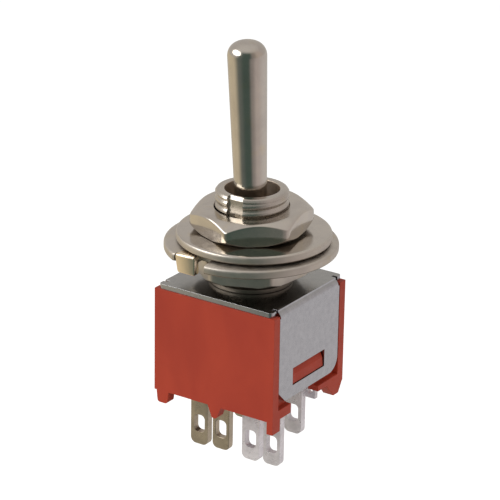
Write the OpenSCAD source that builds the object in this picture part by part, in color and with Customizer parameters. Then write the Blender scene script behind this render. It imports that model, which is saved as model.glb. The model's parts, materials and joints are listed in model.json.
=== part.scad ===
// Panel toggle switch, sub-miniature, two poles, on-off-on, with solder lugs.
// The origin is on the bushing axis, on the face that lies against the back of a panel.
// +Z runs up the bushing, the lever throws along Y, the two poles lie side by side along X.

/* [Bushing] */
// Outer diameter of the bushing thread
thread_d = 4.83; // [4.7:0.01:5.0]
// Height of the bushing tip above the panel face
bushing_rise = 3.37; // [3:0.01:3.6]
// Diameter of the open mouth
mouth_d = 3.6; // [3.5:0.05:3.8]
// Depth of the open mouth
mouth_depth = 1.9; // [1.6:0.05:2]
// Width of the keyway
keyway_w = 0.95; // [0.6:0.05:1.2]
// Depth of the keyway
keyway_depth = 0.28; // [0.15:0.01:0.35]
// Height of the foot between the frame and the lower nut
foot_h = 0.83; // [0.6:0.01:1.5]
// Diameter of the flange on the foot
foot_d = 5.5; // [5:0.1:6]

/* [Lever] */
// Height of the pivot above the panel face
pivot_z = 0.37; // [0.2:0.01:0.45]
// Diameter of the pivot ball
ball_d = 3.1; // [3:0.02:3.2]
// Diameter of the bat at its wide end
bat_d = 2.58; // [2.3:0.02:3]
// Diameter that the bat tapers to at the pivot
bat_root_d = 2.0; // [1.8:0.02:2.1]
// Length of the lever from the pivot to the tip
bat_len = 13.35; // [8:0.05:18]
// Diameter of the tail under the ball
tail_d = 1.3; // [1.1:0.05:1.4]
// Lean of the lever towards the front at rest, in degrees
rest_lean = 4; // [0:0.5:6]

/* [Nuts and washers] */
// Width across the flats of both nuts
nut_af = 7.1; // [6.5:0.1:8]
// Thickness of both nuts
nut_t = 1.6; // [1.3:0.05:1.9]
// Turn of the upper nut, in degrees
upper_turn = 39; // [0:1:60]
// Turn of the lower nut, in degrees
lower_turn = 23; // [0:1:60]
// Diameter of the panel washer
washer_d = 10.2; // [9:0.1:11]
// Shift of the loose panel washer to one side
washer_shift = 0.2; // [0:0.05:0.25]
// Thickness of the panel washer and of the lock ring
washer_t = 0.55; // [0.45:0.01:0.65]
// Diameter of the lock ring
ring_d = 11.44; // [10.8:0.02:12]
// Drop of the dished rim of the lock ring
ring_dish = 0.23; // [0.1:0.01:0.4]
// Width of the tab that is folded down from the ring
tab_w = 1.5; // [1:0.05:1.8]
// Height of the tab
tab_h = 1.35; // [0.8:0.05:1.5]
// Distance of the tab's middle from the keyway
tab_shift = 1.8; // [1.6:0.05:2.2]
// Depth of the flat that the fold leaves in the rim
tab_inset = 0.72; // [0.6:0.02:0.9]
// Width of the notch that the fold leaves beside the tab
notch_w = 1.25; // [0.4:0.05:1.4]
// Depth of that notch behind the face of the tab
notch_d = 0.7; // [0.6:0.05:0.8]

/* [Housing] */
// Length of the housing across the two poles
body_x = 9.36; // [9:0.02:11]
// Width of the housing along the throw
body_y = 8.52; // [8.3:0.02:10]
// Height of the housing without its feet
body_h = 7.23; // [7:0.01:8.5]
// Thickness of the long walls
wall = 0.75; // [0.6:0.05:0.85]
// Thickness of the end walls, behind the legs of the frame
end_wall = 0.54; // [0.4:0.02:0.6]
// Height of the gap under the end walls
end_rise = 0.81; // [0.5:0.01:1]
// Height of the feet
foot_drop = 0.85; // [0.5:0.05:1.2]
// Thickness of the floor
floor_t = 1.3; // [1:0.05:1.4]
// Thickness of the seal under the floor
seal_t = 0.3; // [0.2:0.05:0.4]

/* [Frame] */
// Thickness of the steel
steel_t = 0.35; // [0.25:0.01:0.4]
// Width of the legs
leg_w = 7.1; // [6.6:0.1:7.3]
// Outer radius of the bends
bend_r = 0.6; // [0.5:0.05:0.8]
// Height of the legs' lower edge above the end walls' edge
leg_lift = 0.25; // [0.1:0.05:0.4]
// Radius of the round lower corner of a leg
corner_r = 1; // [0.5:0.05:1.4]
// Width of the window in each leg
window_w = 3.8; // [3:0.1:4.4]
// Height of the window in each leg
window_h = 1.2; // [0.8:0.05:1.4]
// Height of the window above the leg's lower edge
window_lift = 0.8; // [0.6:0.05:1.2]
// Set-back of the plate from the long walls' faces
strip_setback = 0.08; // [0:0.02:0.2]

/* [Terminals] */
// Pitch of the three lugs of a pole
lug_pitch = 2.54; // [2.4:0.02:2.6]
// Distance between the two poles
pole_gap = 4.1; // [3.8:0.05:4.2]
// Width of a lug
lug_w = 1.36; // [1.2:0.02:1.5]
// Thickness of a lug
lug_t = 0.5; // [0.3:0.05:0.6]
// Reach of the outer lugs below the housing
outer_reach = 3.88; // [2.5:0.02:5]
// Reach of the middle lugs below the housing
middle_reach = 5.28; // [3:0.02:6]
// Width of the eye in a lug
eye_w = 0.85; // [0.6:0.05:0.9]
// Height of the eye in a lug
eye_h = 1.25; // [0.8:0.05:1.5]
// Radius of the corners of the eye
eye_r = 0.3; // [0.1:0.05:0.3]
// Height of the middle of the eye above the end of the lug
eye_lift = 1.5; // [1.2:0.02:1.8]
// Radius of the corners at the end of a lug
end_r = 0.4; // [0.1:0.05:0.5]
// Length of the contact face at the inner end of an outer lug
contact_l = 0.5; // [0.3:0.05:0.6]
// Reach of the short tab below the housing
tab_lug_reach = 1.4; // [1:0.02:2]
// Width of the short tab
tab_lug_w = 0.8; // [0.6:0.05:0.9]
// Thickness of the short tab
tab_lug_t = 0.35; // [0.25:0.05:0.4]
// Place of the short tab across the poles
tab_lug_x = 2.85; // [2.4:0.05:3]

/* [Mechanism] */
// Diameter of the plungers
plunger_d = 0.9; // [0.8:0.05:1]
// Thickness of the rockers
rocker_t = 0.3; // [0.2:0.05:0.35]
// Width of the rockers
rocker_w = 1.2; // [1:0.05:1.3]
// Height of the rockers' pivot above the floor
rocker_rise = 1.35; // [1.3:0.05:1.5]
// Diameter of the spring wire
wire_d = 0.12; // [0.1:0.01:0.14]

/* [Hidden] */
$fn = 64;

// Clearances
slip = 0.02;      // between parts that are pressed, staked or cast together
running = 0.04;   // between parts that turn or slide in each other
gap = 0.05;       // between parts that only just miss each other
over = 1;         // how far a cutting shape runs past the face that it opens

// Colours
nickel = [0.72, 0.70, 0.68];
zinc = [0.62, 0.61, 0.63];
red = [0.68, 0.27, 0.18];
tin = [0.74, 0.71, 0.72];
nylon = [0.90, 0.88, 0.82];
silver_plate = [0.80, 0.80, 0.78];

// Heights, from the panel face down
frame_z = -washer_t - nut_t - foot_h;    // top of the steel frame
top_z = frame_z - steel_t;               // top of the housing
base_z = top_z - body_h;                 // lower edge of the long walls
end_z = base_z + end_rise;               // lower edge of the end walls
floor_z = end_z + seal_t + floor_t;      // inside of the floor
rocker_z = floor_z + rocker_rise;        // pivot of the rockers
leg_z = end_z + leg_lift;                // lower edge of the frame's legs
window_z = leg_z + window_lift;          // lower edge of the windows

// Housing
inner_y = body_y / 2 - wall;             // inside face of the long walls
leg_x = body_x / 2 - slip;               // outside face of the legs
recess_x = leg_x - steel_t - slip;       // face of the housing behind the legs
inner_x = recess_x - end_wall;           // inside face of the end walls
pad_y = body_y / 2 - 2.16;               // where the front corner pads begin
back_pad_y = pad_y - 0.9;                // where the back corner pads begin
back_z = base_z + 0.26;                  // underside of the back corner pads
back_foot_y = pad_y + 0.2;               // where the back corner feet begin
pad_x = 0.8;                             // length of the corner pads
foot_w = 0.96;                           // width of a foot at its root
foot_tip_w = 0.5;                        // width of a foot at its tip
foot_r = 0.2;                            // radius of a foot's end
barrier_t = 0.6;                         // wall between the two poles
ledge_drop = 0.15;                       // how far the leg recess runs below the end walls
lead_in = 0.21;                          // chamfer that the bends of the frame lie over
tab_lug_y = inner_y - tab_lug_t - 2 * slip;   // front face of the short tab

// Frame and short tab
bend_relief_r = 0.1;                     // half the width of the nicks beside the bends
ear_x = leg_x - 0.25;                    // end of the plate beside the bends
tab_cover = 0.3;                         // floor above the short tab
tab_eye_h = 0.8;                         // height of the short tab's hole
tab_margin = 0.35;                       // tab below its hole

// Chamfers of the nuts: deep above, slight below
top_land_r = 0.45 * nut_af;              // flat part of a nut's upper face
top_slope = 0.8;
low_land_r = 0.53 * nut_af;              // flat part of its lower face
low_slope = 0.6;

// Throw
throw_deg = 12;                          // lean of the lever at either end of its travel
rocker_ratio = 0.5;                      // turn of the rockers for each degree of the lever

// Bushing
thread_pitch = 0.529;
pitch_r = thread_d / 2 - 0.325 * thread_pitch;   // where a nut hides the thread
bore_r = ball_d / 2 + running;
spigot_r = 2.2;
stake_r = 2.6;
stake_h = 0.45;
flange_h = 0.3;
tip_chamfer = 0.18;
lip_r = 1.36;                            // opening that keeps the ball in
retainer_high = 0.35;                    // top of the retainer below the pivot
retainer_low = 1.8;                      // bottom of the retainer below the pivot
retainer_play = 0.25;                    // room round the tail

// Cradle and plungers, measured along the lever from the pivot
tip_l = rocker_z + rocker_t + gap - pivot_z;
cradle_top = top_z - stake_h - 0.4 - pivot_z;
cradle_bottom = tip_l + 0.45;
cradle_w = pole_gap + 1.5;
cradle_t = 1.8;
cradle_neck = 2.4;
cradle_step = 0.3;
plunger_len = 1.1;
bore_top = cradle_top - 0.45;
tail_len = 1.05 - cradle_top;

// Rockers
saddle_r = 3.4;
saddle_y = 1.45;
wing_y = lug_pitch + 0.55;
wing_z = rocker_t + saddle_r - sqrt(pow(saddle_r, 2) - pow(saddle_y, 2));
bump_r = 0.35;
bump_h = 0.1;
ear_t = 0.15;
ear_h = 0.6;
tilt = throw_deg * rocker_ratio;
pad_z = rocker_z + (wing_z - rocker_t - bump_h) * cos(tilt)
    - (lug_pitch + bump_r) * sin(tilt) - gap;

// ---- shared shapes ----

// A box from one corner to the other
module bar(low, high) translate(low) cube(high - low);

// A ring about the bushing axis
module ring(r, hole_r, low, high) difference() {
    translate([0, 0, low]) cylinder(r = r, h = high - low);
    translate([0, 0, low - over]) cylinder(r = hole_r, h = high - low + 2 * over);
}

// A flat rectangle with round corners, about its own centre
module rounded_plan(w, d, r) {
    square([w - 2 * r, d], center = true);
    square([w, d - 2 * r], center = true);
    for (x = [-1, 1], y = [-1, 1]) translate([x * (w / 2 - r), y * (d / 2 - r)]) circle(r);
}

// Stands a flat outline drawn in X and Z upright, d thick about the XZ plane
module upright(d) rotate([90, 0, 0]) linear_extrude(d, center = true) children();

// Stands a flat outline drawn in Y and Z upright, from X = low to high
module sideways(low, high)
    translate([low, 0, 0]) rotate([90, 0, 90]) linear_extrude(high - low) children();

// Leans what is drawn along the pivot's own axis by the rest lean
module leaning() translate([0, 0, pivot_z]) rotate([rest_lean, 0, 0]) children();

// ---- lever and what holds it ----

module bat_lever() color(nickel) leaning() {
    bat_top = bat_len - bat_d / 2;
    sphere(d = ball_d);
    cylinder(d1 = bat_root_d, d2 = bat_d, h = bat_top);
    translate([0, 0, bat_top]) sphere(d = bat_d);
    translate([0, 0, -tail_len]) cylinder(d = tail_d, h = tail_len);
}

// A collar under the ball, flared below so that the tail can swing
module ball_retainer() color(nylon) difference() {
    low = pivot_z - retainer_low;
    mouth = tail_d / 2 + retainer_play;
    ring(bore_r - slip / 2, mouth, low, pivot_z - retainer_high);
    translate([0, 0, pivot_z]) sphere(r = bore_r);
    translate([0, 0, low - slip]) cylinder(r1 = mouth + 0.35, r2 = mouth - gap, h = 1);
}

module bushing() color(nickel) {
    nut_top = washer_t + nut_t;
    r = thread_d / 2;
    difference() {
        rotate_extrude() polygon([
            [0, top_z - stake_h], [stake_r, top_z - stake_h], [stake_r, top_z],
            [spigot_r, top_z], [spigot_r, frame_z], [foot_d / 2, frame_z],
            [foot_d / 2, frame_z + flange_h], [pitch_r, frame_z + flange_h], [pitch_r, nut_top],
            [r, nut_top], [r, bushing_rise - tip_chamfer],
            [r - 0.8 * tip_chamfer, bushing_rise], [0, bushing_rise]
        ]);
        translate([0, 0, bushing_rise - mouth_depth]) cylinder(d = mouth_d, h = mouth_depth + over);
        translate([0, 0, pivot_z]) cylinder(r = lip_r, h = bushing_rise);
        translate([0, 0, pivot_z]) sphere(r = bore_r);
        translate([0, 0, top_z - stake_h - over])
            cylinder(r = bore_r, h = pivot_z - top_z + stake_h + over);
        bar([-keyway_w / 2, -r - over, frame_z + flange_h],
            [keyway_w / 2, keyway_depth - r, bushing_rise + over]);
    }
}

// ---- nuts and washers ----

// A chamfered hexagon nut; turn sets where its corners point
module nut(low, turn) {
    outer_r = nut_af / sqrt(3) + 0.1;
    difference() {
        intersection() {
            translate([0, 0, low]) rotate(turn)
                cylinder(r = nut_af / sqrt(3), h = nut_t, $fn = 6);
            rotate_extrude() polygon([
                [0, low], [low_land_r, low], [outer_r, low + (outer_r - low_land_r) * low_slope],
                [outer_r, low + nut_t - (outer_r - top_land_r) * top_slope],
                [top_land_r, low + nut_t], [0, low + nut_t]
            ]);
        }
        translate([0, 0, low - over]) cylinder(r = pitch_r + slip, h = nut_t + 2 * over);
    }
}

module upper_nut() color(nickel) nut(washer_t, upper_turn);

module lower_nut() color(nickel) nut(-washer_t - nut_t, lower_turn);

module panel_washer() color(nickel) translate([washer_shift, 0, 0]) difference() {
    bevel = 0.08;
    rotate_extrude() polygon([
        [0, 0], [washer_d / 2 - bevel, 0], [washer_d / 2, bevel],
        [washer_d / 2, washer_t - bevel], [washer_d / 2 - bevel, washer_t], [0, washer_t]
    ]);
    translate([0, 0, -over])
        cylinder(r = thread_d / 2 + washer_shift + gap, h = washer_t + 2 * over);
}

// Dished ring; a strip of its rim is folded down into a tab
module lock_ring() color(nickel) {
    r = ring_d / 2;
    hole_r = thread_d / 2 + gap;
    land_r = nut_af / 2 + 0.6;
    round_r = 0.2;
    tab_low = [-tab_shift - tab_w / 2, tab_inset - r];
    tab_high = tab_low + [tab_w, 0];
    fold_r = 0.4;
    fold_z = -ring_dish / 2 - fold_r;
    difference() {
        rotate_extrude() {
            polygon([
                [hole_r, -washer_t], [land_r, -washer_t], [r - round_r, -washer_t - ring_dish],
                [r - round_r, -ring_dish], [land_r, 0], [hole_r, 0]
            ]);
            translate([r - round_r, -ring_dish - washer_t / 2])
                square([2 * round_r, washer_t - 2 * round_r], center = true);
            for (z = [round_r, washer_t - round_r])
                translate([r - round_r, -ring_dish - z]) circle(round_r, $fn = 32);
        }
        bar([tab_low.x - gap, -r - over, -washer_t - over],
            [tab_high.x + notch_w, tab_low.y + slip, over]);
        bar([tab_high.x, -r - over, -washer_t - over],
            [tab_high.x + notch_w, tab_high.y + notch_d, over]);
    }
    bar([tab_low.x, tab_low.y, -ring_dish / 2 - tab_h], [tab_high.x, tab_low.y + washer_t, fold_z]);
    bar([tab_low.x, tab_low.y + fold_r, fold_z - slip],
        [tab_high.x, tab_low.y + washer_t, -ring_dish / 2]);
    translate([tab_low.x, tab_low.y + fold_r, fold_z]) rotate([0, 90, 0])
        cylinder(r = fold_r, h = tab_w);
}

// ---- frame ----

// Section of the folded strip: outside, then inside
module strap_outline(inset) {
    half = leg_x - inset;
    r = bend_r - inset;
    bend_z = frame_z - bend_r;
    translate([-half, leg_z - over]) square([2 * half, bend_z - leg_z + over]);
    translate([r - half, leg_z - over]) square([2 * (half - r), frame_z - inset - leg_z + over]);
    for (side = [-1, 1]) translate([side * (half - r), bend_z]) circle(r);
}

module frame() color(zinc) difference() {
    bend_x = leg_x - bend_r;
    union() {
        upright(leg_w) difference() {
            strap_outline(0);
            strap_outline(steel_t);
        }
        translate([0, 0, top_z]) linear_extrude(steel_t)
            rounded_plan(2 * ear_x, body_y - 2 * strip_setback, 0.25);
    }
    translate([0, 0, top_z - over]) cylinder(r = spigot_r + slip, h = steel_t + 2 * over);
    bar([-body_x, -body_y, leg_z - 2 * over], [body_x, body_y, leg_z]);
    sideways(-body_x, body_x) leg_corners();
    sideways(-body_x, body_x) translate([0, window_z + window_h / 2])
        square([window_w, window_h], center = true);
    for (side = [-1, 1], end = [-1, 1])
        translate([side * (bend_x + over), end * leg_w / 2, top_z + steel_t / 2])
            cube([2 * over, 2 * bend_relief_r, 2 * steel_t], center = true);
}

// What is cut from the lower corners of the legs: a chamfer in front, a round behind
module leg_corners() {
    translate([-leg_w / 2, leg_z]) rotate(45) square(2 * 0.55, center = true);
    difference() {
        translate([leg_w / 2 - corner_r, leg_z - over]) square([corner_r + over, corner_r + over]);
        translate([leg_w / 2 - corner_r, leg_z + corner_r]) circle(corner_r);
    }
}

// ---- housing ----

// The slot that one lug passes through
module lug_slot(x, y)
    bar([x - lug_w / 2 - slip, y - lug_t / 2 - slip, end_z - over],
        [x + lug_w / 2 + slip, y + lug_t / 2 + slip, floor_z + over]);

// A tapered foot with a round end under a long wall, w wide above and tip_w wide below
module wall_foot(x, y, w, tip_w) translate([x, y, 0]) upright(wall) {
    round_z = base_z - foot_drop + foot_r;
    polygon([
        [-w / 2, base_z + slip], [-tip_w / 2, round_z], [tip_w / 2, round_z],
        [w / 2, base_z + slip]
    ]);
    for (side = [-1, 1]) translate([side * (tip_w / 2 - foot_r), round_z]) circle(foot_r);
    translate([foot_r - tip_w / 2, round_z - foot_r]) square([tip_w - 2 * foot_r, foot_r + slip]);
}

// Feet under the front wall, one under the back wall and one at each back corner
module feet() {
    wall_y = (body_y - wall) / 2;
    half = body_x / 2;
    for (y = [-wall_y, wall_y]) wall_foot(0.12, y, foot_w + 0.1, foot_tip_w);
    wall_foot(foot_w / 2 + 0.17 - half, -wall_y, foot_w, 0.85 * foot_w);
    bar([half - 0.45, -body_y / 2, base_z - foot_drop],
        [half, 0.9 - body_y / 2, base_z + slip]);
    for (low = [-half, half - pad_x]) sideways(low, low + pad_x) polygon([
        [back_foot_y, back_z + slip], [back_foot_y + 0.85, base_z - foot_drop + 0.1],
        [body_y / 2 - 0.5, base_z - foot_drop + 0.1], [body_y / 2 - 0.05, base_z + slip],
        [body_y / 2 - 0.05, back_z + slip]
    ]);
}

// The ramp that a window of the frame snaps over
module snap_ramp() translate([0, 0, window_z + gap]) upright(window_w - 4 * gap) polygon([
    [inner_x + slip, 0], [leg_x - gap, 0], [leg_x - 2 * gap, window_h / 2],
    [recess_x + gap, window_h - 2 * gap], [inner_x + slip, window_h - 2 * gap]
]);

// What is cut from an end wall for a leg of the frame
module leg_recess() upright(leg_w + 2 * gap) polygon([
    [recess_x, end_z - ledge_drop], [body_x / 2 + over, end_z - ledge_drop],
    [body_x / 2 + over, top_z + over], [recess_x - lead_in, top_z + over],
    [recess_x - lead_in, top_z], [recess_x, top_z - lead_in]
]);

module housing() color(red) {
    half = body_x / 2;
    difference() {
        bar([-half, -body_y / 2, base_z], [half, body_y / 2, top_z]);
        bar([-inner_x, -inner_y, floor_z], [inner_x, inner_y, top_z + over]);
        bar([pad_x - half, -inner_y, base_z - 2 * over], [half - pad_x, inner_y, end_z]);
        bar([-half - over, -pad_y, base_z - over], [half + over, back_pad_y, end_z]);
        bar([-half - over, back_pad_y - over, base_z - over], [half + over, inner_y, back_z]);
        bar([-inner_x, -inner_y, end_z - over], [inner_x, inner_y, end_z + seal_t]);
        for (side = [0, 1]) mirror([side, 0, 0]) leg_recess();
        for (side = [-1, 1], row = [-1:1]) lug_slot(side * pole_gap / 2, row * lug_pitch);
        eyelet_blank(slip);
    }
    feet();
    for (side = [0, 1]) mirror([side, 0, 0]) snap_ramp();
    bar([-barrier_t / 2, -inner_y, floor_z - slip], [barrier_t / 2, inner_y, rocker_z + rocker_t]);
}

module base_seal() color([0.20, 0.16, 0.15]) difference() {
    bar([slip - inner_x, slip - inner_y, end_z], [inner_x - slip, inner_y - slip, end_z + seal_t]);
    for (side = [-1, 1], row = [-1:1]) lug_slot(side * pole_gap / 2, row * lug_pitch);
    eyelet_blank(2 * slip);
}

// ---- mechanism ----

module cradle() color(nylon) leaning() difference() {
    union() {
        bar([-cradle_w / 2, -cradle_t / 2, cradle_bottom],
            [cradle_w / 2, cradle_t / 2, cradle_top - cradle_step]);
        bar([-cradle_neck / 2, -cradle_t / 2, cradle_bottom],
            [cradle_neck / 2, cradle_t / 2, cradle_top]);
    }
    translate([0, 0, -tail_len - slip]) cylinder(d = tail_d + 2 * slip, h = tail_len);
    for (side = [-1, 1]) translate([side * pole_gap / 2, 0, cradle_bottom - over])
        cylinder(r = plunger_d / 2 + running, h = bore_top - cradle_bottom + over);
}

module plunger(x) color("gainsboro") leaning() translate([x, 0, tip_l + plunger_d / 2]) {
    sphere(d = plunger_d);
    cylinder(d = plunger_d, h = plunger_len - plunger_d / 2);
}

module plunger_left() plunger(-pole_gap / 2);
module plunger_right() plunger(pole_gap / 2);

// Coil of round wire: rings of points along a helix, joined side by side
module coil(r, wire, low, high, turns) {
    sides = 8;
    steps = 12 * turns;
    points = [for (i = [0:steps], j = [0:sides - 1]) let (
        a = 360 * i * turns / steps, b = 360 * j / sides, q = r + wire / 2 * cos(b)
    ) [q * cos(a), q * sin(a), low + (high - low) * i / steps + wire / 2 * sin(b)]];
    walls = [for (i = [0:steps - 1], j = [0:sides - 1]) let (
        k = (j + 1) % sides, m = i * sides, n = m + sides
    ) each [[m + j, n + j, n + k], [m + j, n + k, m + k]]];
    start = [for (j = [sides - 1:-1:0]) j];
    end = [for (j = [0:sides - 1]) steps * sides + j];
    polyhedron(points, concat(walls, [start, end]));
}

module spring(x) color("lightgray") leaning() translate([x, 0, 0])
    coil(plunger_d / 2 - wire_d, wire_d, tip_l + plunger_len + wire_d / 2 + slip,
        bore_top - wire_d / 2 - slip, 4);

module spring_left() spring(-pole_gap / 2);
module spring_right() spring(pole_gap / 2);

// See-saw contact: a saddle that the plunger rides in, a wing over each outer lug,
// and ears that straddle the middle lug
module rocker(x) color(silver_plate) translate([x, 0, rocker_z])
    rotate([-rest_lean * rocker_ratio, 0, 0]) {
        sideways(-rocker_w / 2, rocker_w / 2) {
            intersection() {
                translate([0, rocker_t + saddle_r]) difference() {
                    circle(saddle_r + rocker_t, $fn = 128);
                    circle(saddle_r, $fn = 128);
                }
                translate([-saddle_y, 0]) square([2 * saddle_y, 2]);
            }
            for (side = [0, 1]) mirror([side, 0])
                translate([saddle_y - slip, wing_z - rocker_t])
                    square([wing_y - saddle_y, rocker_t]);
        }
        for (side = [-1, 1]) {
            translate([0, side * lug_pitch, wing_z - rocker_t - bump_h])
                cylinder(r = bump_r, h = bump_h + slip);
            bar([side * (rocker_w - ear_t) / 2 - ear_t / 2, -0.4, -ear_h],
                [side * (rocker_w - ear_t) / 2 + ear_t / 2, 0.4, rocker_t / 2]);
        }
    }

module rocker_left() rocker(-pole_gap / 2);
module rocker_right() rocker(pole_gap / 2);

// ---- terminals ----

// Blade of a lug, drawn in X and Z, from its top down to its round end with the eye
module blade(top, end) difference() {
    union() {
        translate([-lug_w / 2, end + end_r]) square([lug_w, top - end - end_r]);
        translate([end_r - lug_w / 2, end]) square([lug_w - 2 * end_r, end_r + slip]);
        for (side = [-1, 1]) translate([side * (lug_w / 2 - end_r), end + end_r]) circle(end_r);
    }
    translate([0, end + eye_lift]) rounded_plan(eye_w, eye_h, eye_r);
}

module outer_lug(x, side) color(tin) translate([x, side * lug_pitch, 0]) {
    upright(lug_t) blade(pad_z, base_z - outer_reach);
    translate([0, side * (lug_t + contact_l) / 2, pad_z - 0.15])
        cube([lug_w, contact_l + 2 * slip, 0.3], center = true);
}

module common_lug(x) color(tin) translate([x, 0, 0]) {
    neck = rocker_w - 2 * ear_t - 2 * gap;
    neck_z = rocker_z - ear_h - gap;
    knife_z = rocker_z - lug_t / 2 - slip;
    upright(lug_t) blade(neck_z, base_z - middle_reach);
    bar([-neck / 2, -lug_t / 2, neck_z - slip], [neck / 2, lug_t / 2, knife_z]);
    translate([-neck / 2, 0, knife_z]) rotate([0, 90, 0]) cylinder(d = lug_t, h = neck);
}

module common_lug_left() common_lug(-pole_gap / 2);
module common_lug_right() common_lug(pole_gap / 2);
module front_lug_left() outer_lug(-pole_gap / 2, -1);
module front_lug_right() outer_lug(pole_gap / 2, -1);
module back_lug_left() outer_lug(-pole_gap / 2, 1);
module back_lug_right() outer_lug(pole_gap / 2, 1);

// The short tab beside the last lug, without its eye, grown by a clearance
module eyelet_blank(grow = 0)
    bar([tab_lug_x - tab_lug_w / 2 - grow, tab_lug_y - grow, base_z - tab_lug_reach - grow],
        [tab_lug_x + tab_lug_w / 2 + grow, tab_lug_y + tab_lug_t + grow, floor_z - tab_cover + grow]);

module eyelet_tab() color(tin) difference() {
    eyelet_blank();
    translate([tab_lug_x, tab_lug_y, base_z - tab_lug_reach + tab_eye_h / 2 + tab_margin])
        upright(2 * over) rounded_plan(tab_lug_w / 2, tab_eye_h, tab_lug_w / 4 - slip / 2);
}

bat_lever();
ball_retainer();
bushing();
upper_nut();
panel_washer();
lock_ring();
lower_nut();
frame();
housing();
base_seal();
cradle();
plunger_left();
plunger_right();
spring_left();
spring_right();
rocker_left();
rocker_right();
common_lug_left();
common_lug_right();
front_lug_left();
front_lug_right();
back_lug_left();
back_lug_right();
eyelet_tab();
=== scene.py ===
import json
import math

import bmesh
import bpy
from mathutils import Matrix, Vector

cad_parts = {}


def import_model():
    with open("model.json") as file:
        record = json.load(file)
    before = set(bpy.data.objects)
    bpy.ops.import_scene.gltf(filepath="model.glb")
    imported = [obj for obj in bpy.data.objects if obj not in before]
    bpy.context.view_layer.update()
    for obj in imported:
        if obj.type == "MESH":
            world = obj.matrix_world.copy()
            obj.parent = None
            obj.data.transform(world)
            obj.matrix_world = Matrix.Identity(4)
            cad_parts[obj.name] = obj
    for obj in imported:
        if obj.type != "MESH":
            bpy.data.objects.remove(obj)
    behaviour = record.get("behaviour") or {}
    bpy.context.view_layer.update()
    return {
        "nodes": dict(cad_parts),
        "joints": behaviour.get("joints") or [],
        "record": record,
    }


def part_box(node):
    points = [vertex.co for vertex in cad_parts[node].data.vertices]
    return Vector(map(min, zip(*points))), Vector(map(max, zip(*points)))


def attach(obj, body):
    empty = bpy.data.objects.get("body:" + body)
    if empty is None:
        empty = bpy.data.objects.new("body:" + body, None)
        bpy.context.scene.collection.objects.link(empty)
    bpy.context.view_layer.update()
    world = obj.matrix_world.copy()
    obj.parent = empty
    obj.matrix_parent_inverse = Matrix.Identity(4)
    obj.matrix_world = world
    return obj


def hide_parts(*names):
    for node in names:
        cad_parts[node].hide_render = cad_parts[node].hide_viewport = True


# Looks of the panel toggle switch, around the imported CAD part. The shapes are in millimetres
# and become metres in build(); the studio is in metres. Z runs up the bushing from the panel
# face, the lever leans towards -Y, and the camera stands in front, between -Y and +X.
MM = 0.001
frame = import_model()
nodes = frame["nodes"]
joints = {j["name"]: j for j in frame["joints"]}
mounts = {m["name"]: m for m in frame["record"]["mounts"]}


def box_mm(node):
    """Lowest and highest corner of a CAD node's box, in millimetres."""
    low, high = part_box(node)
    return low / MM, high / MM


# ---------------------------------------------------------------- materials


class Nodes:
    """Short calls for building the node tree of a material or of the world."""

    def __init__(self, owner):
        owner.use_nodes = True
        self.tree = owner.node_tree

    def add(self, kind, **inputs):
        node = self.tree.nodes.new(kind)
        for key, value in inputs.items():
            self.feed(node.inputs[key.replace("_", " ")], value)
        return node

    def feed(self, socket, value):
        if isinstance(value, bpy.types.NodeSocket):
            self.tree.links.new(value, socket)
        else:
            socket.default_value = value

    def math(self, operation, *values):
        node = self.add("ShaderNodeMath")
        node.operation = operation
        for socket, value in zip(node.inputs, values):
            self.feed(socket, value)
        return node.outputs[0]

    def ramp(self, fac, *stops, ease=False):
        """Colours or greys along fac, as (place, value) stops."""
        node = self.add("ShaderNodeValToRGB", Fac=fac)
        node.color_ramp.interpolation = "EASE" if ease else "LINEAR"
        elements = node.color_ramp.elements
        while len(elements) < len(stops):
            elements.new(0.5)
        for element, (place, value) in zip(elements, stops):
            element.position = place
            grey = isinstance(value, (int, float))
            element.color = (value, value, value, 1) if grey else (*value, 1)
        return node.outputs["Color"]

    def mix(self, fac, a, b):
        node = self.tree.nodes.new("ShaderNodeMix")
        node.data_type = "RGBA"
        self.feed(node.inputs[0], fac)
        self.feed(node.inputs[6], a)
        self.feed(node.inputs[7], b)
        return node.outputs[2]


class Finish(Nodes):
    """A material for the part, with the patterns that the finishes share."""

    def __init__(self, name, **values):
        self.mat = bpy.data.materials.new(name)
        super().__init__(self.mat)
        self.shader = self.tree.nodes["Principled BSDF"]
        self.set(**values)
        self.coordinates = self.tree.nodes.new("ShaderNodeTexCoord").outputs

    def set(self, **sockets):
        for name, value in sockets.items():
            self.feed(self.shader.inputs[name.replace("_", " ")], value)
        return self.mat

    def stretched(self, x, y, z):
        """The place on the part in millimetres, stretched along each axis."""
        node = self.add("ShaderNodeMapping", Vector=self.coordinates["Object"])
        node.inputs["Scale"].default_value = (x / MM, y / MM, z / MM)
        return node.outputs["Vector"]

    def noise(self, per_mm, detail=3.0, rough=0.5, stretch=(1, 1, 1), warp=0.0):
        node = self.add(
            "ShaderNodeTexNoise",
            Vector=self.stretched(*stretch),
            Scale=per_mm,
            Detail=detail,
            Roughness=rough,
            Distortion=warp,
        )
        return node.outputs["Fac"]

    def upward(self):
        """How level the surface lies: 0 on a wall, 1 on a face that looks up or down."""
        split = self.add("ShaderNodeSeparateXYZ", Vector=self.coordinates["Normal"])
        return self.math("ABSOLUTE", split.outputs["Z"])

    def bump(self, height, strength, depth_mm, under=None):
        node = self.add("ShaderNodeBump", Height=height, Strength=strength)
        node.inputs["Distance"].default_value = depth_mm * MM
        if under is not None:
            self.feed(node.inputs["Normal"], under)
        return node.outputs["Normal"]


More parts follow.
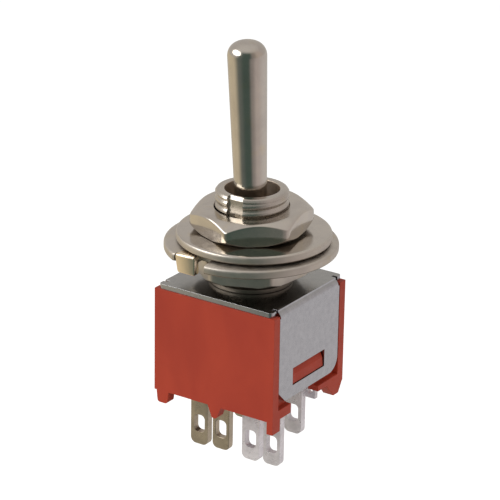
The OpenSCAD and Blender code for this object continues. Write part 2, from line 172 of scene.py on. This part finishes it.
def nickel(name, rough, rim_rough, grain=1.0, tint=(1, 1, 1)):
    """Nickel plate on turned brass: soft cloudy patches, fine pits and a few warm stains.
    rough is for the faces that look up or down, and rim_rough for the sides."""
    n = Finish(name, Metallic=1.0)
    base = [(0.54, 0.50, 0.46), (0.60, 0.56, 0.51), (0.64, 0.59, 0.52)]
    base = [tuple(c * k for c, k in zip(colour, tint)) for colour in base]
    clouds = n.noise(0.55, detail=4, rough=0.6, warp=0.4)
    colour = n.ramp(clouds, (0.3, base[0]), (0.52, base[1]), (0.75, base[2]))
    stain = n.ramp(n.noise(0.9, detail=2), (0.58, 0.0), (0.75, 0.35))
    warm = tuple(c * k for c, k in zip(base[1], (1.05, 0.95, 0.72)))
    colour = n.mix(stain, colour, (*warm, 1))
    smudge = n.noise(2.2, detail=5, rough=0.7)
    face = n.ramp(smudge, (0.3, rough), (0.75, 1.9 * rough))
    rim = n.ramp(smudge, (0.3, rim_rough), (0.75, 1.4 * rim_rough))
    roughness = n.mix(n.ramp(n.upward(), (0.35, 0.0), (0.85, 1.0)), rim, face)
    wobble = n.bump(n.noise(1.1, detail=2), 0.25 * grain, 0.02)
    pits = n.bump(n.noise(6.0, detail=1), 0.10 * grain, 0.01, wobble)
    return n.set(Base_Color=colour, Roughness=roughness, Normal=pits)


def sheet_steel():
    """Dull zinc on sheet steel: mottled grey with specks; where it is level it is rubbed
    smoother and painted darker, a painted dark reflection.
    """
    n = Finish("zinc_sheet", Metallic=1.0)
    mottle = n.noise(2.4, detail=5, rough=0.65)
    colour = n.ramp(mottle, (0.3, (0.44, 0.45, 0.485)), (0.7, (0.53, 0.54, 0.575)))
    specks = n.ramp(n.noise(7.0, detail=2), (0.62, 0.0), (0.78, 0.4))
    colour = n.mix(specks, colour, (0.36, 0.37, 0.41, 1))
    level = n.ramp(n.upward(), (0.5, 0.0), (0.95, 1.0))
    # Faces that look up or down are painted darker: a painted dark reflection.
    level_painted_dark = n.ramp(mottle, (0.3, (0.37, 0.38, 0.38)), (0.7, (0.44, 0.44, 0.43)))
    colour = n.mix(level, colour, level_painted_dark)
    dull = n.ramp(n.noise(4.0, detail=4), (0.3, 0.16), (0.75, 0.30))
    roughness = n.mix(level, dull, (0.20, 0.20, 0.20, 1))
    grain = n.bump(n.noise(3.5, detail=1), 0.12, 0.012)
    return n.set(Base_Color=colour, Roughness=roughness, Normal=grain)


def red_plastic():
    """Moulded red-orange plastic: faint flow marks, a satin skin with fine grain."""
    n = Finish("red_moulding", Specular_IOR_Level=0.3)
    flow = n.noise(0.35, detail=3, stretch=(1, 1, 0.5), warp=0.6)
    colour = n.ramp(flow, (0.3, (0.40, 0.040, 0.018)), (0.7, (0.47, 0.052, 0.022)))
    scuffs = n.ramp(n.noise(6.0, detail=4, rough=0.7), (0.66, 0.0), (0.8, 0.25))
    colour = n.mix(scuffs, colour, (0.52, 0.10, 0.055, 1))
    roughness = n.ramp(n.noise(1.5, detail=4), (0.3, 0.42), (0.75, 0.58))
    skin = n.bump(n.noise(14.0, detail=2), 0.12, 0.01)
    return n.set(Base_Color=colour, Roughness=roughness, Normal=skin)


def tinned(name, pale, metallic):
    """Hot-tinned brass: soft ripples and duller patches."""
    n = Finish(name, Metallic=metallic)
    dull = tuple(0.78 * c for c in pale)
    colour = n.ramp(n.noise(1.6, detail=4, rough=0.6), (0.3, dull), (0.65, pale))
    roughness = n.ramp(n.noise(3.0, detail=3), (0.3, 0.24), (0.7, 0.42))
    ripple = n.bump(n.noise(2.2, detail=3, stretch=(1, 1, 0.6)), 0.4, 0.03)
    return n.set(Base_Color=colour, Roughness=roughness, Normal=ripple)


def moulding(name, low, high, rough):
    """A plain moulded or cast material with a slightly uneven colour and skin."""
    n = Finish(name, Specular_IOR_Level=0.4)
    colour = n.ramp(n.noise(1.2, detail=3), (0.3, low), (0.7, high))
    roughness = n.ramp(n.noise(3.0), (0.3, rough - 0.08), (0.7, rough + 0.08))
    skin = n.bump(n.noise(8.0, detail=3), 0.15, 0.01)
    return n.set(Base_Color=colour, Roughness=roughness, Normal=skin)


def plated(name, low, high, rough):
    """A small bright metal part, drawn or stamped, with fine lines along its length."""
    n = Finish(name, Metallic=1.0)
    colour = n.ramp(n.noise(2.0, detail=3), (0.3, low), (0.7, high))
    roughness = n.ramp(n.noise(4.0), (0.3, rough - 0.08), (0.7, rough + 0.1))
    lines = n.bump(n.noise(12.0, detail=2, stretch=(1, 0.1, 1)), 0.2, 0.008)
    return n.set(Base_Color=colour, Roughness=roughness, Normal=lines)


NICKEL = nickel("nickel_plate", rough=0.14, rim_rough=0.13)
NICKEL_WASHER = nickel("nickel_washer", rough=0.13, rim_rough=0.42, grain=1.3)
NICKEL_WORN = nickel("nickel_worn", rough=0.32, rim_rough=0.40, grain=2.0)
# The folded tab's nickel is tinted lighter and warmer than the ring's: painted light.
NICKEL_FOLD_LIT = nickel("nickel_fold_painted_light", rough=0.2, rim_rough=0.2, grain=1.5, tint=(1.5, 1.38, 1.15))
# The bushing's nickel is tinted a little darker than the plain nickel: painted shade.
THREAD = nickel("nickel_thread", rough=0.17, rim_rough=0.24, tint=(0.95, 0.95, 0.95))
BORE = nickel("unpolished_bore", rough=0.36, rim_rough=0.36, tint=(1.0, 0.92, 0.86))
# Nickel tinted to about half as bright and made rougher: painted shade for the faces that look
# down and for the bushing's foot below the lower nut.
PAINTED_SHADE = nickel("nickel_painted_shade", rough=0.4, rim_rough=0.4, tint=(0.48, 0.45, 0.42))
ZINC = sheet_steel()
RED = red_plastic()
TIN_WARM = tinned("tin_warm", (0.56, 0.48, 0.37), 0.85)
TIN_COOL = tinned("tin_cool", (0.88, 0.84, 0.87), 0.4)
NYLON = moulding("nylon", (0.74, 0.70, 0.60), (0.82, 0.79, 0.70), 0.5)
RESIN = moulding("cast_resin", (0.03, 0.022, 0.02), (0.055, 0.04, 0.035), 0.4)
SILVER = plated("silver_plate", (0.70, 0.70, 0.68), (0.80, 0.80, 0.78), 0.25)
WIRE = plated("spring_wire", (0.48, 0.48, 0.49), (0.58, 0.58, 0.60), 0.3)

# ---------------------------------------------------------------- mesh helpers


def build(name, columns, mat, slot_name, body, replaced, round_trip=True, loop=True):
    """A mesh over columns of points. loop joins each column's end to its start, which a
    column that begins and ends on the axis doesn't need. round_trip joins the last column to
    the first; without it a face closes each of the two."""
    bm = bmesh.new()
    grid = [[bm.verts.new(Vector(p) * MM) for p in column] for column in columns]
    count, rows = len(grid), len(grid[0])
    for i in range(count if round_trip else count - 1):
        a, b = grid[i], grid[(i + 1) % count]
        for j in range(rows if loop else rows - 1):
            k = (j + 1) % rows
            bm.faces.new((a[j], b[j], b[k], a[k]))
    if not round_trip:
        bm.faces.new(grid[0])
        bm.faces.new(list(reversed(grid[-1])))
    bmesh.ops.remove_doubles(bm, verts=bm.verts, dist=1e-8)
    bmesh.ops.dissolve_degenerate(bm, edges=bm.edges, dist=1e-8)
    bmesh.ops.recalc_face_normals(bm, faces=bm.faces)
    return place(name, bm, mat, slot_name, body, replaced)


def place(name, bm, mat, slot_name, body, replaced, smooth=40):
    """Puts a mesh on its body and hides the CAD nodes that it replaces; slot_name is not used.
    Edges sharper than smooth degrees stay sharp."""
    mesh = bpy.data.meshes.new(name)
    bm.to_mesh(mesh)
    bm.free()
    for polygon in mesh.polygons:
        polygon.use_smooth = True
    mesh.set_sharp_from_angle(angle=math.radians(smooth))
    mesh.materials.append(mat)
    obj = bpy.data.objects.new(name, mesh)
    bpy.context.scene.collection.objects.link(obj)
    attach(obj, body)
    if replaced:
        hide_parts(*replaced)
    return obj


def filleted(points, radii, steps=4, closed=True):
    """The outline with each corner rounded; radii is one number or one for each corner."""
    count = len(points)
    if isinstance(radii, (int, float)):
        radii = [radii] * count
    out = []
    for i, (point, radius) in enumerate(zip(points, radii)):
        here = Vector(point)
        if radius <= 0 or not closed and i in (0, count - 1):
            out.append(here)
            continue
        back = Vector(points[i - 1]) - here
        ahead = Vector(points[(i + 1) % count]) - here
        reach = min(radius, 0.45 * back.length, 0.45 * ahead.length)
        start = here + back.normalized() * reach
        end = here + ahead.normalized() * reach
        for s in range(steps + 1):
            t = s / steps
            out.append((1 - t) ** 2 * start + 2 * t * (1 - t) * here + t * t * end)
    return out


def around(count, start=0.0, end=2 * math.pi, closed=True):
    """count evenly spaced numbers from start; a closed round leaves out its end."""
    steps = count if closed else count - 1
    return [start + (end - start) * i / steps for i in range(count)]


def at(angle, r, z):
    """The point at an angle about Z, r away from it and z high."""
    return Vector((r * math.cos(angle), r * math.sin(angle), z))


def softened(node, name, mat, slot_name, width):
    """A copy of a CAD node with its flat faces joined and its edges rounded by width."""
    bm = bmesh.new()
    bm.from_mesh(nodes[node].data)
    bmesh.ops.remove_doubles(bm, verts=bm.verts, dist=2e-7)
    bmesh.ops.dissolve_limit(
        bm, angle_limit=math.radians(1), verts=bm.verts, edges=bm.edges, delimit=set()
    )
    bmesh.ops.recalc_face_normals(bm, faces=bm.faces)
    obj = place(name, bm, mat, slot_name, "root", [node], smooth=32)
    bevel = obj.modifiers.new("edges", "BEVEL")
    bevel.width = width * MM
    bevel.segments = 2
    bevel.limit_method = "ANGLE"
    bevel.angle_limit = math.radians(25)
    bevel.harden_normals = True
    bevel.use_clamp_overlap = True
    return obj


def paint(obj, mat, chosen):
    """Gives a second material, such as the painted shade, to the faces that chosen(middle in
    mm, normal) picks.
    """
    obj.data.materials.append(mat)
    for face in obj.data.polygons:
        if chosen(face.center / MM, face.normal):
            face.material_index = len(obj.data.materials) - 1
    return obj


def underside(middle, normal):
    """Picks the faces that look down."""
    return normal.z < -0.25


# ---------------------------------------------------------------- sizes

thread_r = mounts["panel_thread"]["dims"]["r_mm"]
pivot_z = joints["lever_throw"]["pos_m"][2] / MM
REST_LEAN = math.radians(4)
THREAD_PITCH = 0.529
ROOT_R = thread_r - 0.25 * THREAD_PITCH
nut_low, nut_high = box_mm("upper_nut")
washer_low, washer_high = box_mm("panel_washer")
lower_low, lower_high = box_mm("lower_nut")
ring_low, ring_high = box_mm("lock_ring")
bushing_low, bushing_high = box_mm("bushing")

# ---------------------------------------------------------------- lever


def lever():
    """The bat, its ball and tail, turned in one piece and leaning with the CAD's lever."""
    tip_r, root_r, ball_r, tail_r = 1.27, 1.0, 1.55, 0.65
    length, tail, crown = 13.08, 5.18, 0.98
    shoulder = length - crown
    profile = [(tip_r * math.sin(a) ** 0.8, shoulder + crown * math.cos(a) ** 0.9)
               for a in around(24, 0, math.pi / 2, False)]
    # The taper starts below the crown and ends above the ball, and blends into both.
    profile += [(tip_r + (root_r - tip_r) * t, shoulder * (1 - t))
                for t in around(12, 0.08, 0.88, False)]
    ball_from, ball_to = math.asin(root_r / ball_r) + 0.02, math.pi - 0.44
    profile += [(ball_r * math.sin(a), ball_r * math.cos(a))
                for a in around(20, ball_from, ball_to, False)]
    profile += [(tail_r, -tail + 0.1), (tail_r - 0.1, -tail), (0, -tail)]
    lean = Matrix.Rotation(REST_LEAN, 3, "X")
    pivot = Vector((0, 0, pivot_z))
    columns = [[lean @ at(a, r, z) + pivot for r, z in profile] for a in around(96)]
    return build("bat", columns, NICKEL, "nickel", "lever", ["bat_lever"], loop=False)


# ---------------------------------------------------------------- bushing


def thread_radius(angle, z):
    """Radius of the thread at a place, with the rounded crest and root of a rolled thread."""
    phase = z / THREAD_PITCH - angle / (2 * math.pi)
    rise = 0.5 - 0.5 * math.cos(2 * math.pi * phase)
    return ROOT_R + (thread_r - ROOT_R) * rise ** 0.8


def bushing():
    """Threaded bushing with its keyway, mouth, lip, flange and staked end."""
    low, top = bushing_low.z, bushing_high.z
    plate_low, plate_top = low + 0.45, low + 0.8
    thread_from = nut_high.z - 0.5
    key_x, key_half, key_face = 0.18, 0.53, thread_r - 0.28
    key_low = plate_top + 0.3
    outer = filleted(
        [(1.62, low), (2.6, low), (2.6, plate_low), (2.2, plate_low), (2.2, plate_top),
         (2.75, plate_top), (2.75, key_low), (ROOT_R, key_low), (ROOT_R, thread_from)],
        [0, 0.08, 0.08, 0, 0, 0.06, 0.06, 0.05, 0], closed=False)
    rim_low, rim_in = top - 0.2, thread_r - 0.14
    bevel_low, bevel_slope = top - 0.24, 0.6
    turns = [Vector((thread_r, z)) for z in around(44, thread_from + 0.02, rim_low, False)]
    mouth_r, mouth_floor, lip_r = 1.8, top - 1.9, 1.36
    rim = filleted(
        [(thread_r - 0.01, rim_low), (rim_in, top), (mouth_r, top), (mouth_r, mouth_floor),
         (lip_r, mouth_floor - 0.1), (lip_r, mouth_floor - 0.35), (1.62, pivot_z), (1.62, low)],
        [0, 0.1, 0.08, 0.15, 0.05, 0, 0, 0], closed=False)
    profile = outer + turns + rim
    first_turn, first_rim = len(outer), len(outer) + len(turns)
    key_depth_r, slip = key_face - 0.2, 0.01

    def column(angle, in_key=False, side=0):
        """The outline at an angle; side runs from -1 to 1 across the keyway's face."""
        points = []
        for i, (r, z) in enumerate(profile):
            if first_turn <= i < first_rim:
                r = thread_radius(angle, z)
            p = at(angle, r, z)
            if z >= key_low and r > key_depth_r:
                if in_key:
                    bevel = bevel_slope * max(0, z - bevel_low)
                    p = Vector((key_x + key_half * side, -min(key_face - bevel, r), z))
                elif abs(p.x - key_x) < key_half + slip and p.y < 0:
                    x = key_x + math.copysign(key_half + slip, p.x - key_x)
                    p = Vector((x, -math.sqrt(max(r * r - x * x, 0)), z))
            points.append(p)
        return points

    sides = (-1, -0.5, 0, 0.5, 1)
    key_angles = [math.atan2(-key_face, key_x + key_half * side) for side in sides]
    start, end = key_angles[-1] + 0.005, key_angles[0] - 0.005 + 2 * math.pi
    columns = [column(a) for a in around(180, start, end, False)]
    columns += [column(a, True, side) for a, side in zip(key_angles, sides)]
    obj = build("threaded_bushing", columns, THREAD, "nickel", "root", ["bushing"])

    def in_bore(middle, normal):
        return middle.xy.length < mouth_r + 0.02 and normal.xy.dot(middle.xy) < 0

    paint(obj, BORE, in_bore)
    # The foot below the lower nut is painted dark: painted shade.
    return paint(obj, PAINTED_SHADE, lambda middle, normal: middle.z < lower_low.z)


# ---------------------------------------------------------------- nuts and washers


def nut(name, node, mat, turn, low, high, low_land, tilt=0.0):
    """Hexagon nut, chamfered above and, outside the radius low_land, below; tilt lowers its
    front edge."""
    flat_r, bore_r, top_land, slope = 3.55, ROOT_R + 0.06, 3.39, 0.75
    corner_r = flat_r / math.cos(math.radians(30)) - 0.05
    middle = Vector((0, 0, (low + high) / 2))
    lean = Matrix.Rotation(math.radians(tilt), 3, "X")
    radii = [0.03, 0.03, 0.03, 0.1, 0.3, 0.03, 0.03, 0.03]
    columns = []
    for side in range(6):
        for t in around(21, -30, 30):
            r = min(flat_r / math.cos(math.radians(t)), corner_r)
            rise = max(0, r - low_land) * slope
            outline = [
                (bore_r + 0.15, low), (min(r, low_land) - 0.04, low), (r, low + rise + 0.02),
                (r, high - (r - top_land) * slope), (top_land, high), (bore_r + 0.14, high),
                (bore_r, high - 0.2), (bore_r, low + 0.15),
            ]
            angle = math.radians(t) + math.radians(turn + 30 + 60 * side)
            points = [at(angle, q.x, q.y) for q in filleted(outline, radii, 3)]
            columns.append([lean @ (p - middle) + middle for p in points])
    obj = build(name, columns, mat, "nickel", "root", [node])
    # The faces that look down are painted dark: painted shade.
    return paint(obj, PAINTED_SHADE, underside)


def washer():
    """Flat washer, off centre on the thread, rolled over at its upper edge by the die."""
    low, high = washer_low.z, washer_high.z
    middle, r = (washer_low.x + washer_high.x) / 2, (washer_high.x - washer_low.x) / 2
    hole = thread_r + middle + 0.05
    shift = Vector((middle, 0, 0))
    outline = filleted(
        [(hole, low), (r, low), (r, high), (hole, high)], [0.05, 0.12, 0.24, 0.05], 6)
    columns = [[at(a, p.x, p.y) + shift for p in outline] for a in around(160)]
    obj = build("flat_washer", columns, NICKEL_WASHER, "nickel", "root", ["panel_washer"])
    # The faces that look down are painted dark: painted shade.
    return paint(obj, PAINTED_SHADE, underside)


RING_T, RING_DISH, RING_LAND = 0.55, 0.23, 4.15
RING_R = ring_high.x
TAB_X = (-2.60, -1.05)
TAB_FACE = RING_R - 0.72


def ring_fall(q):
    """How far the dished ring lies below its middle at a distance q from the axis."""
    return -RING_DISH * max(0, q - RING_LAND) / (RING_R - RING_LAND)


def lock_ring():
    """Dished ring, cut straight behind its tab and deeper in the notch beside it."""
    hole, notch_x = thread_r + 0.05, 0.2
    strip_y, notch_y = TAB_FACE - 0.5, TAB_FACE - 0.7
    # The columns on either side of a corner of the rim stand a hair apart.
    hair = 0.001

    def column(angle, rim):
        outline = [(hole, -RING_T), (RING_LAND, -RING_T), (rim, ring_fall(rim) - RING_T),
                   (rim, ring_fall(rim)), (RING_LAND, 0), (hole, 0)]
        rounded = filleted(outline, [0.05, 0.3, 0.15, 0.2, 0.3, 0.05], 5)
        return [at(angle, p.x, p.y) for p in rounded]

    def chord(count, start_x, end_x, y):
        """Columns where the rim is cut straight at a distance y in front of the axis."""
        start, end = math.atan2(-y, start_x) + hair, math.atan2(-y, end_x) - hair
        return [column(a, y / abs(math.sin(a))) for a in around(count, start, end, False)]

    left_x = -math.sqrt(RING_R**2 - TAB_FACE**2)
    columns = chord(4, left_x, TAB_X[0], TAB_FACE) + chord(10, *TAB_X, strip_y)
    columns += chord(12, TAB_X[1], notch_x, notch_y)
    start = math.atan2(-math.sqrt(RING_R**2 - notch_x**2), notch_x)
    end = math.atan2(-TAB_FACE, left_x) - 2 * hair + 2 * math.pi
    columns += [column(a, RING_R) for a in around(160, start, end, False)]
    obj = build("dished_ring", columns, NICKEL_WORN, "nickel", "root", ["lock_ring"])
    # The faces that look down are painted dark: painted shade.
    return paint(obj, PAINTED_SHADE, underside)


def ring_tab():
    """The strip of the ring's rim that is folded down, narrower at its end."""
    bottom, taper = ring_low.z + 0.005, 0.25
    root_y, back_y = 0.7 - TAB_FACE, RING_T - TAB_FACE
    # The strip follows the ring's dish up to fold_y and stays level beyond it.
    fold_y = TAB_FACE - 0.25
    section = filleted(
        [(root_y, -RING_T), (back_y, -RING_T), (back_y, bottom),
         (-TAB_FACE, bottom), (-TAB_FACE, 0), (root_y, 0)],
        [0.01, 0.05, 0.08, 0.1, 0.4, 0.01], 8)
    middle = Vector((RING_T / 2 - 0.005 - TAB_FACE, bottom / 2))
    left, right = TAB_X
    rounding = ((0, 0.08), (0.03, 0.03), (0.09, 0))
    slices = [(left + x, inset) for x, inset in rounding]
    slices += [(right - x, inset) for x, inset in reversed(rounding)]
    columns = []
    for x, inset in slices:
        column = []
        for p in section:
            y, z = p + (middle - p).normalized() * inset
            down = max(0, z / bottom)
            z += (1 - down) * ring_fall(math.hypot(x, min(-y, fold_y)))
            shift = taper * down if x < (left + right) / 2 else 0
            column.append(Vector((x + shift, y, z)))
        columns.append(column)
    # The tab gets the lighter, warmer nickel: painted light.
    return build("ring_tab", columns, NICKEL_FOLD_LIT, "nickel", "root", [], round_trip=False)


# ---------------------------------------------------------------- pieces

UPPER_TURN, UPPER_TILT, UPPER_T, UPPER_LAND = 39, 2.5, 1.5, 3.6
LOWER_TURN, LOWER_LAND, LOWER_SINK = 23, 3.76, 0.04
# The tilted nut touches the washer in front, SEAT_R from the axis.
SEAT_R = 3.72
upper_seat = nut_low.z + SEAT_R * math.sin(math.radians(UPPER_TILT))

lever()
bushing()
nut("upper_hex_nut", "upper_nut", NICKEL, UPPER_TURN, upper_seat, upper_seat + UPPER_T,
    UPPER_LAND, UPPER_TILT)
nut("lower_hex_nut", "lower_nut", NICKEL_WORN, LOWER_TURN, lower_low.z - LOWER_SINK,
    lower_high.z, LOWER_LAND)
washer()
lock_ring()
ring_tab()
softened("frame", "steel_strap", ZINC, "zinc_steel", 0.05)
softened("housing", "red_case", RED, "red_plastic", 0.06)
for node in ("front_lug_left", "common_lug_left", "back_lug_left"):
    softened(node, "solder_" + node, TIN_WARM, "tinned", 0.05)
for node in ("front_lug_right", "common_lug_right", "back_lug_right", "eyelet_tab"):
    softened(node, "solder_" + node, TIN_COOL, "tinned", 0.05)

INNER = {
    "ball_retainer": NYLON, "cradle": NYLON, "base_seal": RESIN,
    "plunger_left": SILVER, "plunger_right": SILVER, "rocker_left": SILVER,
    "rocker_right": SILVER, "spring_left": WIRE, "spring_right": WIRE,
}
for node, mat in INNER.items():
    nodes[node].data.materials.clear()
    nodes[node].data.materials.append(mat)

# ---------------------------------------------------------------- studio

YAW, ELEVATION, ROLL = math.radians(33.5), math.radians(21.4), math.radians(0.98)
DISTANCE, LENS = 0.163, 180
AIM_RIGHT, AIM_Z = -0.00008, -0.00097
right = Vector((math.cos(YAW), math.sin(YAW), 0))
level = Vector((-math.sin(YAW), math.cos(YAW), 0))
forward = level * math.cos(ELEVATION) - Vector((0, 0, math.sin(ELEVATION)))


def camera():
    data = bpy.data.cameras.new("camera")
    data.lens = LENS
    data.clip_start, data.clip_end = 0.01, 10
    obj = bpy.data.objects.new("camera", data)
    target = right * AIM_RIGHT + Vector((0, 0, AIM_Z))
    obj.location = target - forward * DISTANCE
    obj.rotation_mode = "QUATERNION"
    roll = Matrix.Rotation(ROLL, 4, "Z").to_quaternion()
    obj.rotation_quaternion = forward.to_track_quat("-Z", "Y") @ roll
    bpy.context.scene.collection.objects.link(obj)
    bpy.context.scene.camera = obj


FLOOR_Z, FLOOR_R, ROOM_R = -0.034, 1.5, 0.8


def floor_material(own_light):
    """White, with own_light added for the camera so that the floor shows as white paper."""
    mat = bpy.data.materials.new("floor_white")
    n = Nodes(mat)
    diffuse = n.add("ShaderNodeBsdfDiffuse", Color=(0.8, 0.8, 0.8, 1))
    seen = n.add("ShaderNodeLightPath").outputs["Is Camera Ray"]
    glow = n.add("ShaderNodeEmission", Strength=n.math("MULTIPLY", seen, own_light))
    total = n.add("ShaderNodeAddShader")
    n.feed(total.inputs[0], diffuse.outputs[0])
    n.feed(total.inputs[1], glow.outputs[0])
    n.feed(n.tree.nodes["Material Output"].inputs["Surface"], total.outputs[0])
    return mat


def floor():
    """A wide white disc below the part, which mirrors don't see."""
    mesh = bpy.data.meshes.new("floor")
    rim = [at(a, FLOOR_R, FLOOR_Z) for a in around(48)]
    mesh.from_pydata(rim, [], [list(range(len(rim)))])
    mesh.materials.append(floor_material(0.52))
    obj = bpy.data.objects.new("floor", mesh)
    bpy.context.scene.collection.objects.link(obj)
    obj.visible_glossy = False


def room_material():
    """What polished metal mirrors, by direction: dark in front, beige on the left, rose-grey
    on the right, grey behind, and lighter overhead."""
    mat = bpy.data.materials.new("room")
    n = Nodes(mat)
    outward = n.add("ShaderNodeTexCoord").outputs["Object"]

    def by_azimuth(*stops):
        radial = n.add("ShaderNodeTexGradient", Vector=outward)
        radial.gradient_type = "RADIAL"
        places = [((degrees + 180) / 360, colour) for degrees, colour in stops]
        return n.ramp(radial.outputs["Fac"], *places, ease=True)

    beige, dusk, dark = (0.72, 0.63, 0.47), (0.16, 0.18, 0.165), (0.085, 0.12, 0.105)
    shade, rose, grey = (0.33, 0.30, 0.285), (0.57, 0.505, 0.48), (0.57, 0.54, 0.51)
    pale, light = (0.68, 0.64, 0.62), (0.66, 0.63, 0.60)
    below = by_azimuth((-180, beige), (-146, beige), (-106, dusk), (-75, dark), (-50, dark),
                       (-30, shade), (0, rose), (55, pale), (120, grey), (180, beige))
    above = by_azimuth((-180, grey), (-125, grey), (-100, dusk), (-75, dark), (-45, dark),
                       (-20, shade), (10, rose), (100, grey), (180, grey))
    z = n.add("ShaderNodeSeparateXYZ", Vector=outward).outputs["Z"]
    height = n.add("ShaderNodeMapRange", Value=z, From_Min=-ROOM_R, From_Max=ROOM_R)
    to_above = n.ramp(height.outputs["Result"], (0.47, 0), (0.56, 1), ease=True)
    to_ceiling = n.ramp(height.outputs["Result"], (0.80, 0), (0.98, 1), ease=True)
    colour = n.mix(to_ceiling, n.mix(to_above, below, above), (*light, 1))
    glow = n.add("ShaderNodeEmission", Color=colour)
    n.feed(n.tree.nodes["Material Output"].inputs["Surface"], glow.outputs[0])
    return mat


def room():
    """A sphere about the part that only mirrors see."""
    bm = bmesh.new()
    bmesh.ops.create_icosphere(bm, subdivisions=5, radius=ROOM_R)
    mesh = bpy.data.meshes.new("room")
    bm.to_mesh(mesh)
    bm.free()
    mesh.materials.append(room_material())
    obj = bpy.data.objects.new("room", mesh)
    bpy.context.scene.collection.objects.link(obj)
    obj.visible_camera = obj.visible_diffuse = obj.visible_shadow = False
    obj.visible_transmission = False


def softbox(name, direction, distance, width, height, radiance, colour):
    """A lamp in the given direction that faces the part; radiance is how bright it looks."""
    data = bpy.data.lights.new(name, "AREA")
    data.shape = "ELLIPSE"
    data.size, data.size_y = width, height
    data.energy = radiance * math.pi * width * height
    data.color = colour
    obj = bpy.data.objects.new(name, data)
    direction = Vector(direction).normalized()
    obj.location = direction * distance
    obj.rotation_mode = "QUATERNION"
    obj.rotation_quaternion = (-direction).to_track_quat("-Z", "Y")
    bpy.context.scene.collection.objects.link(obj)
    return obj


def world():
    """White to the camera, mirrors and glass; it lights matt surfaces half as much."""
    studio = bpy.data.worlds.new("studio")
    n = Nodes(studio)
    path = n.add("ShaderNodeLightPath").outputs
    seen = path["Is Camera Ray"]
    for ray in ("Is Glossy Ray", "Is Transmission Ray"):
        seen = n.math("MAXIMUM", seen, path[ray])
    strength = n.add("ShaderNodeMapRange", Value=seen, To_Min=0.5, To_Max=1.0)
    back = n.tree.nodes["Background"].inputs
    n.feed(back["Strength"], strength.outputs["Result"])
    n.feed(back["Color"], (1, 1, 1, 1))
    bpy.context.scene.world = studio


camera()
world()
floor()
room()
softbox("key", (-0.567, -0.611, 0.539), distance=0.28, width=0.30, height=0.18,
        radiance=2.4, colour=(1.0, 0.98, 0.94))
# The fill lamp lights the matt surfaces only, so that metal shows one highlight.
fill = softbox("fill", (0.9, -0.1, 0.5), distance=0.4, width=0.25, height=0.3,
               radiance=0.8, colour=(1.0, 0.97, 0.97))
fill.visible_glossy = False
bpy.context.scene.view_settings.view_transform = "Standard"
